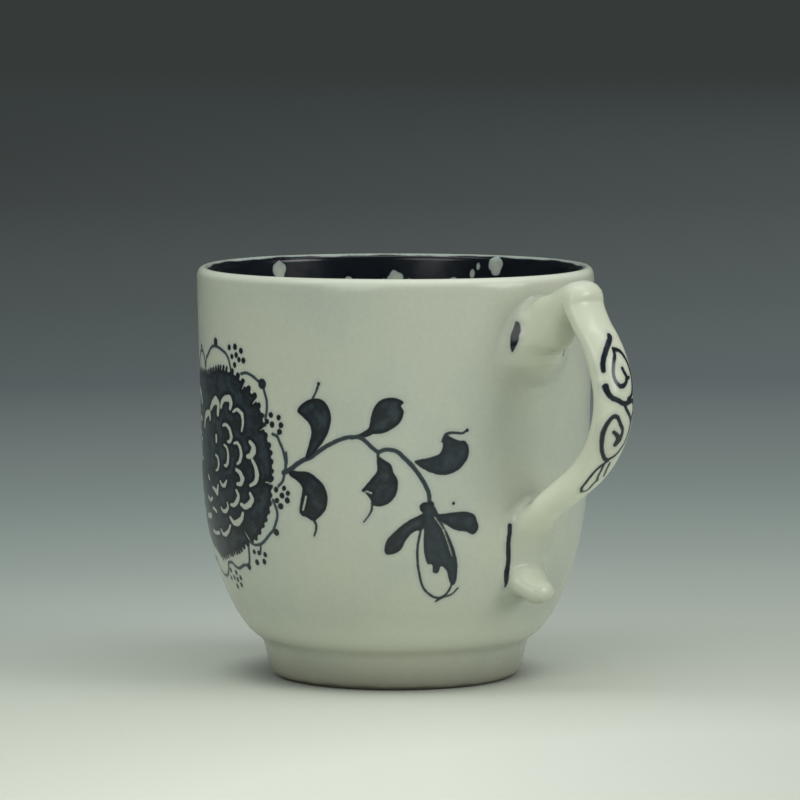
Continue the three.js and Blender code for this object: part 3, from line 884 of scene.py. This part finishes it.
def handle(strap, sheet):
    turn = np.arange(SIDES) * 2 * math.pi / SIDES
    power = strap.power[:, None]

    def bent(value, exponent):
        return np.sign(value) * np.abs(value) ** exponent

    up, side = bent(np.cos(turn), 2 / power), bent(np.sin(turn), 2 / power)
    rings = len(strap.middle)
    thick = strap.thick[:, None] * np.where(up > 0, strap.lift[:, None], 1)
    a, y = thick * up, strap.wide[:, None] * side
    x = strap.middle[:, :1] + a * strap.out[:, :1]
    z = strap.middle[:, 1:] + a * strap.out[:, 1:]
    points = np.stack([x, y, z], 2).reshape(-1, 3)
    lean, aside = bent(up, power - 1) / thick, bent(side, power - 1) / strap.wide[:, None]
    ways = np.stack([lean * strap.out[:, :1], aside, lean * strap.out[:, 1:]], 2).reshape(-1, 3)
    ways /= np.linalg.norm(ways, axis=1)[:, None]
    # Near the wall the strap swells as pressed-down clay does.
    near = np.abs(wall_distance(points)) < NEAR_WALL
    start, way = points[near], ways[near]

    def rises(far):
        at = start + way * far[:, None]
        return soft_min(wall_distance(at), far, at)

    swells = np.zeros(len(points))
    swells[near] = outermost(rises, len(start), MOST_SWELL)
    swells = eased(np.tile(swells.reshape(rings, SIDES), 3), SWELL_CLIMB)[:, SIDES:2 * SIDES].ravel()
    swell = swells[near]
    # Under the pads, and at the upper end, it stays below their surface.
    from_end = np.repeat(strap.place - strap.place[0], SIDES)[near]
    swell *= np.clip((from_end - 1) / 3, 0, 1)
    sunk = 0.1 * np.clip((PAD_HEIGHT - wall_distance(start + way * swell[:, None])) / 0.8, 0, 1)
    points[near] += way * (swell - sunk)[:, None]
    edge, tone = strap_drawing().measure(np.repeat(strap.place, SIDES), points[:, 1] + SCROLL_SHIFT[1])
    edge = np.where(up.ravel() > 0, edge, 1.0)
    # The wall's painting runs on over the roots of the strap.
    low = np.flatnonzero(wall_distance(points) < 2.5)
    angle = np.degrees(np.arctan2(points[low, 1], points[low, 0]))
    on_wall, wall_tone = sheet.measure(angle, points[low, 2])
    tone[low] = np.where(on_wall < edge[low], wall_tone, tone[low])
    edge[low] = np.minimum(edge[low], on_wall)

    # The rings run the other way round, so the corners of each face are turned over.
    faces, corners = (
        [[b, a, d, c] for a, b, c, d in each] for each in quads(rings - 1, SIDES, wraps=True)
    )
    run = (strap.place - strap.place[0]) / np.ptp(strap.place)
    uvs = [(0.03 + 0.94 * run[i], inset(j / SIDES)) for corner in corners for j, i in corner]
    # A fan of triangles closes each end.
    ends = []
    for i, u in ((0, 0.015), (rings - 1, 0.985)):
        ends.append(points[i * SIDES:(i + 1) * SIDES].mean(0))
        for j in range(SIDES):
            k = (j + 1) % SIDES
            pair = (j, k) if i == 0 else (k, j)
            faces.append([i * SIDES + pair[0], i * SIDES + pair[1], rings * SIDES + len(ends) - 1])
            uvs += [(u + 0.012 * math.cos(turn[q]), 0.5 + 0.3 * math.sin(turn[q])) for q in pair]
            uvs.append((u, 0.5))
    points = np.vstack([points, ends])
    values = {
        "ink_edge": np.append(edge, [1, 1]), "ink_tone": np.append(tone, [0.8, 0.8]),
        "off_wall": wall_distance(points),
    }
    made = make_object("handle_strap", points, faces, uvs, values)
    normals = np.zeros(len(points) * 3)
    made.data.vertex_normals.foreach_get("vector", normals)
    normals = normals.reshape(-1, 3)
    # Near the wall the shading follows the soft join.
    share = np.clip((4 - wall_distance(points)) / 2, 0, 1)[:, None]
    normals = normals * (1 - share) + strap.joined_normals(points) * share
    made.data.normals_split_custom_set_from_vertices(normals.tolist())
    return made


def pad(name, strap, half_angle, low, high, sheet):
    """The luting clay round an end of the strap: the wall's surface, raised to run softly into it."""
    columns, rows = round(half_angle * 2 * DEG_MM / PAD_GRID), round((high - low) / PAD_GRID)
    grids = np.meshgrid(np.linspace(0, 1, columns + 1), np.linspace(0, 1, rows + 1))
    u, v = (grid.ravel() for grid in grids)
    angle = np.radians((u * 2 - 1) * half_angle)
    z = low + v * (high - low)
    out, rise = wall_normal(z)

    def raised(far):
        radius = wall_radius(z) + out * far
        return np.column_stack([radius * np.cos(angle), radius * np.sin(angle), z + rise * far])

    far = outermost(lambda h: strap.joined(raised(h)), len(z), MOST_PAD)
    far = eased(far.reshape(rows + 1, columns + 1), PAD_CLIMB).ravel()
    normals = strap.joined_normals(raised(far))
    from_side = np.minimum(u, 1 - u) * 2 * half_angle * DEG_MM
    border = np.minimum(from_side, np.minimum(v, 1 - v) * (high - low))
    # It goes under the wall's surface where it has run out, and deeper at its border.
    sunk = 0.05 * (1 - np.clip(far / 0.08, 0, 1)) + 0.3 * np.clip(1 - border / 0.6, 0, 1)
    edge, tone = sheet.measure(np.degrees(angle), z)
    faces, _ = quads(rows, columns, wraps=False)
    uvs = [(inset(u[k]), inset(v[k])) for face in faces for k in face]
    values = {"ink_edge": edge, "ink_tone": tone, "off_wall": far}
    return make_object(name, raised(far - sunk + wobble(angle, z)), faces, uvs, values, normals)


# Materials


def linear(colour):
    """A colour written in 0-255 sRGB, as shader values."""
    c = np.asarray(colour, float) / 255
    return (*np.where(c <= 0.04045, c / 12.92, ((c + 0.055) / 1.055) ** 2.4), 1.0)


class Nodes:
    """A node tree, written as nested calls. Inputs go by name or number, and are values or sockets."""

    def __init__(self, data):
        data.use_nodes = True
        self.tree = data.node_tree
        self.tree.nodes.clear()

    def add(self, kind, settings=None, **inputs):
        made = self.tree.nodes.new("ShaderNode" + kind)
        for key, value in (settings or {}).items():
            setattr(made, key, value)
        for key, value in inputs.items():
            numbered = key[0] == "i" and key[1:].isdigit()
            socket = made.inputs[int(key[1:]) if numbered else key.replace("_", " ")]
            if isinstance(value, bpy.types.NodeSocket):
                self.tree.links.new(value, socket)
            else:
                socket.default_value = value
        return made

    def math(self, operation, *values):
        """Takes the values two by two from the left."""
        made = values[0]
        for value in values[1:]:
            made = self.add("Math", {"operation": operation}, i0=made, i1=value).outputs[0]
        return made

    def vector(self, operation, a, b):
        return self.add("VectorMath", {"operation": operation}, i0=a, i1=b).outputs["Value"]

    def ramp(self, value, low, high, start=0.0, end=1.0, smooth=True):
        return self.add(
            "MapRange", {"interpolation_type": "SMOOTHSTEP" if smooth else "LINEAR"},
            Value=value, From_Min=low, From_Max=high, To_Min=start, To_Max=end,
        ).outputs[0]

    def mix(self, share, a, b, blend="MIX"):
        a, b = (linear(c) if isinstance(c, tuple) else c for c in (a, b))
        made = self.add("Mix", {"data_type": "RGBA", "blend_type": blend}, Factor=share, i6=a, i7=b)
        return made.outputs[2]

    def coat(self, share, tint):
        """Lays another colour over the surface's colour so far."""
        self.colour = self.mix(share, self.colour, tint)

    def brighten(self, factor):
        grey = self.add("CombineColor", Red=factor, Green=factor, Blue=factor).outputs[0]
        self.colour = self.mix(1.0, self.colour, grey, "MULTIPLY")

    def noise(self, where, scale, detail, roughness):
        made = self.add("TexNoise", Vector=where, Scale=scale, Detail=detail, Roughness=roughness)
        return made.outputs[0]

    def attribute(self, name):
        return self.add("Attribute", {"attribute_name": name}).outputs["Fac"]

    def seen(self):
        """1 for rays from the camera and from reflections."""
        path = self.add("LightPath").outputs
        return self.math("MAXIMUM", path["Is Camera Ray"], path["Is Glossy Ray"])


# Colours in 0-255 sRGB
INK_DARK = (11, 16, 23)
INK_WASH = (44, 56, 61)
INK_THIN = (50, 63, 68)
INK_HALO = (128, 142, 142)
SPECK = (112, 108, 92)
INSIDE_PAINTED_SHADE = (112, 124, 116)
HANDLE_PAINTED_LIGHT = (188, 192, 173)
STRAP_PAINTED_LIGHT = (208, 213, 192)
LIP_PAINTED_HIGHLIGHT = (191, 197, 182)
BASE_PAINTED_LIGHT = (205, 208, 190)
FOOT_LOW_DARK = (112, 108, 94)
FOOT_BARE_AND_SHADED = (84, 72, 58)
FOOT_POOL = (138, 148, 136)


def painted_light_places(n, height):
    """Painted light: the handle, its lower strap, the top of the lip and the base of the wall are coloured
    lighter.
    """
    off_wall = n.attribute("off_wall")
    # Painted light: the handle is lighter than the wall, less so on its tail.
    tip = n.ramp(height, 0.0135, 0.019, 0.3, 1.0)
    n.coat(n.math("MULTIPLY", n.ramp(off_wall, 0.2, 2.2, 0.0, 0.95), tip), HANDLE_PAINTED_LIGHT)
    # Painted light on the lower strap, lifting its shade.
    low = n.math("MULTIPLY", n.ramp(height, 0.038, 0.031), n.ramp(height, 0.021, 0.026))
    n.coat(n.math("MULTIPLY", low, n.ramp(off_wall, 0.8, 4.5)), STRAP_PAINTED_LIGHT)
    # Painted highlight along the top of the lip, and of the thumb rest.
    n.coat(n.ramp(height, 0.0607, 0.0616), LIP_PAINTED_HIGHLIGHT)
    # Painted light on the base of the wall, lifting its shade towards the foot.
    n.coat(n.ramp(height, 0.0125, 0.007, 0.0, 0.42), BASE_PAINTED_LIGHT)


def ink(n, where):
    """The painting: dark in the middle of a stroke, washed in broad fields, with a faint halo."""
    ragged = n.math("MULTIPLY", n.math("SUBTRACT", n.noise(where, 1700, 3, 0.6), 0.5), 0.16)
    edge = n.math("ADD", n.attribute("ink_edge"), ragged)
    tone = n.attribute("ink_tone")
    streak = n.noise(where, 520, 4, 0.65)

    def by_place(outside, inside):
        return n.ramp(tone, 1.05, 1.4, outside, inside)

    washed = n.math(
        "MULTIPLY", n.ramp(edge, -0.25, -0.95), n.ramp(streak, 0.36, 0.66, 0.05, 0.85), by_place(1.0, 0.1)
    )
    stroke = n.mix(washed, INK_DARK, INK_WASH)
    stroke = n.mix(n.ramp(tone, 1.0, 0.5, 0.0, 0.9), stroke, INK_THIN)
    # Painted shade over the whole inside of the bowl, with a stronger halo there.
    n.coat(by_place(0.0, 0.3), INSIDE_PAINTED_SHADE)
    n.coat(n.math("MULTIPLY", n.ramp(edge, 0.8, 0.0, 0.0, 0.3), by_place(1.0, 2.4)), INK_HALO)
    n.coat(n.math("MULTIPLY", n.ramp(edge, 0.1, -0.1), n.ramp(streak, 0.25, 0.6, 0.985, 1.0)), stroke)


def foot_colouring(n, height, patchy):
    """The foot's colour, darker towards the table. Gives how bare it is."""
    ragged_height = n.math("ADD", height, n.math("MULTIPLY", n.math("SUBTRACT", patchy, 0.5), 0.0012))
    bare = n.ramp(ragged_height, 0.0009, 0.00035)
    # Darker towards the table, over the lower part of the foot.
    n.coat(n.ramp(ragged_height, 0.0056, 0.0006, 0.0, 0.68), FOOT_LOW_DARK)
    # Painted light on the top of the foot, under the bowl.
    n.coat(n.ramp(height, 0.0054, 0.0063, 0.0, 0.45), BASE_PAINTED_LIGHT)
    # The rest is bare body, its dark colour partly painted contact shade.
    n.coat(bare, FOOT_BARE_AND_SHADED)
    n.coat(n.ramp(height, 0.0078, 0.0056, 0.0, 0.15), FOOT_POOL)
    return bare


def glaze(name, warm, cool, body, painted):
    """Old lead glaze over a pale body: faintly mottled and softly uneven."""
    material = bpy.data.materials.new(name)
    n = Nodes(material)
    where = n.add("TexCoord").outputs["Object"]
    height = n.add("SeparateXYZ", Vector=where).outputs[2]
    patchy = n.noise(where, 170, 4, 0.6)
    n.colour = n.mix(n.ramp(n.noise(where, 42, 3, 0.55), 0.32, 0.68), cool, warm)
    n.coat(n.ramp(patchy, 0.3, 0.75, 0.0, 0.55), body)
    n.brighten(n.ramp(n.noise(where, 1500, 2, 0.5), 0.25, 0.75, 0.965, 1.03, smooth=False))
    # Pin specks of iron in the body, most of them faint.
    cells = n.add("TexVoronoi", {"feature": "F1"}, Vector=where, Scale=330.0).outputs
    chance = n.add("SeparateColor", Color=cells["Color"]).outputs
    rare = n.math("GREATER_THAN", chance[0], 0.9)
    strength = n.ramp(chance[1], 0.2, 1.0, 0.1, 0.6)
    n.coat(n.math("MULTIPLY", rare, n.ramp(cells["Distance"], 0.06, 0.02), strength), SPECK)
    roughness = n.ramp(patchy, 0.3, 0.7, 0.15, 0.24)
    if painted:
        painted_light_places(n, height)
        ink(n, where)
    else:
        roughness = n.math("ADD", roughness, n.math("MULTIPLY", foot_colouring(n, height, patchy), 0.45))
    pits = n.math("MULTIPLY", n.noise(where, 900, 2, 0.5), 0.05)
    relief = n.math("ADD", n.noise(where, 95, 2, 0.4), pits)
    bump = n.add("Bump", Strength=0.2, Distance=0.0006, Height=relief).outputs[0]
    shader = n.add(
        "BsdfPrincipled", Base_Color=n.colour, Roughness=roughness, Normal=bump,
        Specular_IOR_Level=0.42, IOR=1.46,
    )
    n.add("OutputMaterial", Surface=shader.outputs[0])
    return material


# The cup
strap = Strap(0.22)
wall_sheet = wall_drawing()
body_glaze = glaze("painted_glaze", (174, 177, 161), (163, 170, 158), (169, 174, 159), painted=True)
foot_glaze = glaze("foot_glaze", (160, 161, 144), (149, 154, 141), (156, 158, 143), painted=False)

pieces = [
    (bowl(), "cup_body", "glazed_body", body_glaze),
    (foot(), "foot_ring", "glazed_foot", foot_glaze),
    (handle(strap, wall_sheet), "handle", "glazed_handle", body_glaze),
    (pad("upper_pad", strap, 18, 40, 60.9, wall_sheet), "upper_luting_slip", "slip", body_glaze),
    (pad("lower_pad", strap, 17, 9.5, 35, wall_sheet), "lower_luting_slip", "slip", body_glaze),
]
for piece, node, slot, material in pieces:
    piece.data.materials.append(material)
    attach(piece, "root")
    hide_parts(node)

# Floor, light and camera, in metres
CUP_MIDDLE = 0.03  # the height that the lamps aim at
VIEW_AZIMUTH = math.radians(45.5)
VIEW_DISTANCE = 0.772
VIEW_HEIGHT = 0.115
VIEW_PITCH = math.radians(5.43)
IMAGE_WIDTH = 800  # pixels, as the next two
FOCAL_LENGTH = 5129
FRAME_SHIFT = 4.6
SENSOR_WIDTH = 36
TOWARDS_CAMERA = np.array([math.sin(VIEW_AZIMUTH), -math.cos(VIEW_AZIMUTH), 0])
ACROSS_VIEW = np.array([math.cos(VIEW_AZIMUTH), math.sin(VIEW_AZIMUTH), 0])
AXIS = np.array([AXIS_X * MM, 0, 0])

# Metres from the middle of a painted pool of light on the paper, and the paper's colour there.
PAPER = [
    (0.0, (207, 211, 200)), (0.095, (210, 214, 204)), (0.155, (189, 194, 183)), (0.22, (167, 174, 167)),
    (0.30, (142, 151, 147)), (0.40, (121, 133, 130)), (0.52, (107, 116, 115)), (0.64, (90, 98, 99)),
    (0.9, (81, 89, 88)), (1.44, (69, 75, 74)), (2.55, (58, 63, 63)), (3.2, (54, 59, 57)),
]
PAPER_REACH = PAPER[-1][0]
PAPER_LEVEL = -0.02  # millimetres, just under the foot
AMBIENT = (235, 240, 235)


def paper_material():
    material = bpy.data.materials.new("paper_sweep")
    n = Nodes(material)
    where = n.add("NewGeometry").outputs["Position"]
    distance = n.vector("DISTANCE", where, AXIS + TOWARDS_CAMERA * 0.15 + ACROSS_VIEW * 0.06)
    share = n.math("POWER", n.math("DIVIDE", distance, PAPER_REACH), 0.5)
    sweep = n.add("ValToRGB", Fac=share)
    stops = sweep.color_ramp.elements
    stops[0].color, stops[1].color = linear(PAPER[0][1]), linear(PAPER[-1][1])
    for d, colour in PAPER[1:-1]:
        stops.new((d / PAPER_REACH) ** 0.5).color = linear(colour)
    fibres = n.ramp(n.noise(where, 600, 4, 0.6), 0.2, 0.8, 0.985, 1.015, smooth=False)
    # A little more light reaches the far paper on the handle's side, and less the near paper there.
    aside = n.vector("DOT_PRODUCT", where, ACROSS_VIEW)
    slant = n.math("MULTIPLY", aside, n.ramp(distance, 0.3, 0.8), n.ramp(distance, 1.6, 3.0, 1.0, 0.0))
    near = n.math("MULTIPLY", n.math("MAXIMUM", aside, 0.0), n.ramp(distance, 0.12, 0.3, -3.4, 0.0))
    slant = n.math("MINIMUM", n.math("MAXIMUM", n.math("ADD", slant, near), -0.2), 0.2)
    # A painted shadow darkens the paper close round the foot.
    beside = n.vector("DISTANCE", where, AXIS - TOWARDS_CAMERA * 0.0025 - ACROSS_VIEW * 0.002)
    n.colour = sweep.outputs[0]
    n.brighten(n.math("MULTIPLY", n.math("ADD", fibres, slant), n.ramp(beside, 0.015, 0.0275, 0.5, 1.0)))
    matt = n.add("BsdfPrincipled", Base_Color=n.colour, Roughness=0.85, Specular_IOR_Level=0.2)
    glow = n.add("Emission", Color=n.colour, Strength=1.0)
    # Far from the cup the paper glows with its painted colour to the camera and in reflections, and lights
    # nothing.
    far = n.math("MULTIPLY", n.seen(), n.ramp(distance, 0.3, 0.6))
    mixed = n.add("MixShader", Fac=far, i1=matt.outputs[0], i2=glow.outputs[0])
    n.add("OutputMaterial", Surface=mixed.outputs[0])
    return material


def paper():
    rings = np.concatenate([[0], np.geomspace(0.05, PAPER_REACH, 24)]) / MM
    made = turned("paper_floor", [(r, PAPER_LEVEL) for r in rings[::-1]], 96)
    made.data.materials.append(paper_material())


def lamp(name, near, across, height, size, power):
    """A soft lamp aimed at the cup, placed by metres towards the camera, across the view and up."""
    data = bpy.data.lights.new(name, "AREA")
    data.shape, data.energy = "ELLIPSE", power
    data.size, data.size_y = size
    made = linked(name, data)
    made.location = AXIS + TOWARDS_CAMERA * near + ACROSS_VIEW * across + (0, 0, height)
    made.rotation_mode = "QUATERNION"
    aim = AXIS + (0, 0, CUP_MIDDLE) - np.array(made.location)
    made.rotation_quaternion = Vector(aim).to_track_quat("-Z", "Y")


def world():
    made = bpy.data.worlds.new("studio")
    bpy.context.scene.world = made
    n = Nodes(made)
    ambient = n.add("Background", Color=linear(AMBIENT), Strength=0.74)
    dark = n.add("Background", Color=linear(PAPER[-1][1]), Strength=1.0)
    mixed = n.add("MixShader", Fac=n.seen(), i1=ambient.outputs[0], i2=dark.outputs[0])
    n.add("OutputWorld", Surface=mixed.outputs[0])


def camera():
    data = bpy.data.cameras.new("camera")
    data.sensor_width = SENSOR_WIDTH
    data.lens = FOCAL_LENGTH * SENSOR_WIDTH / IMAGE_WIDTH
    data.shift_x = FRAME_SHIFT / IMAGE_WIDTH
    data.clip_start, data.clip_end = 0.05, 20
    made = linked("camera", data)
    made.location = AXIS + TOWARDS_CAMERA * VIEW_DISTANCE + (0, 0, VIEW_HEIGHT)
    made.rotation_euler = (math.pi / 2 - VIEW_PITCH, 0, VIEW_AZIMUTH)
    bpy.context.scene.camera = made


paper()
world()
lamp("top", 0.2, 0.03, 0.95, (2.0, 0.45), 4.8)
lamp("right", 0.47, 1.07, 0.42, (0.6, 0.6), 4.9)
lamp("front", 0.84, -0.38, 0.38, (0.6, 0.6), 2.3)
camera()
bpy.context.scene.view_settings.view_transform = "Standard"
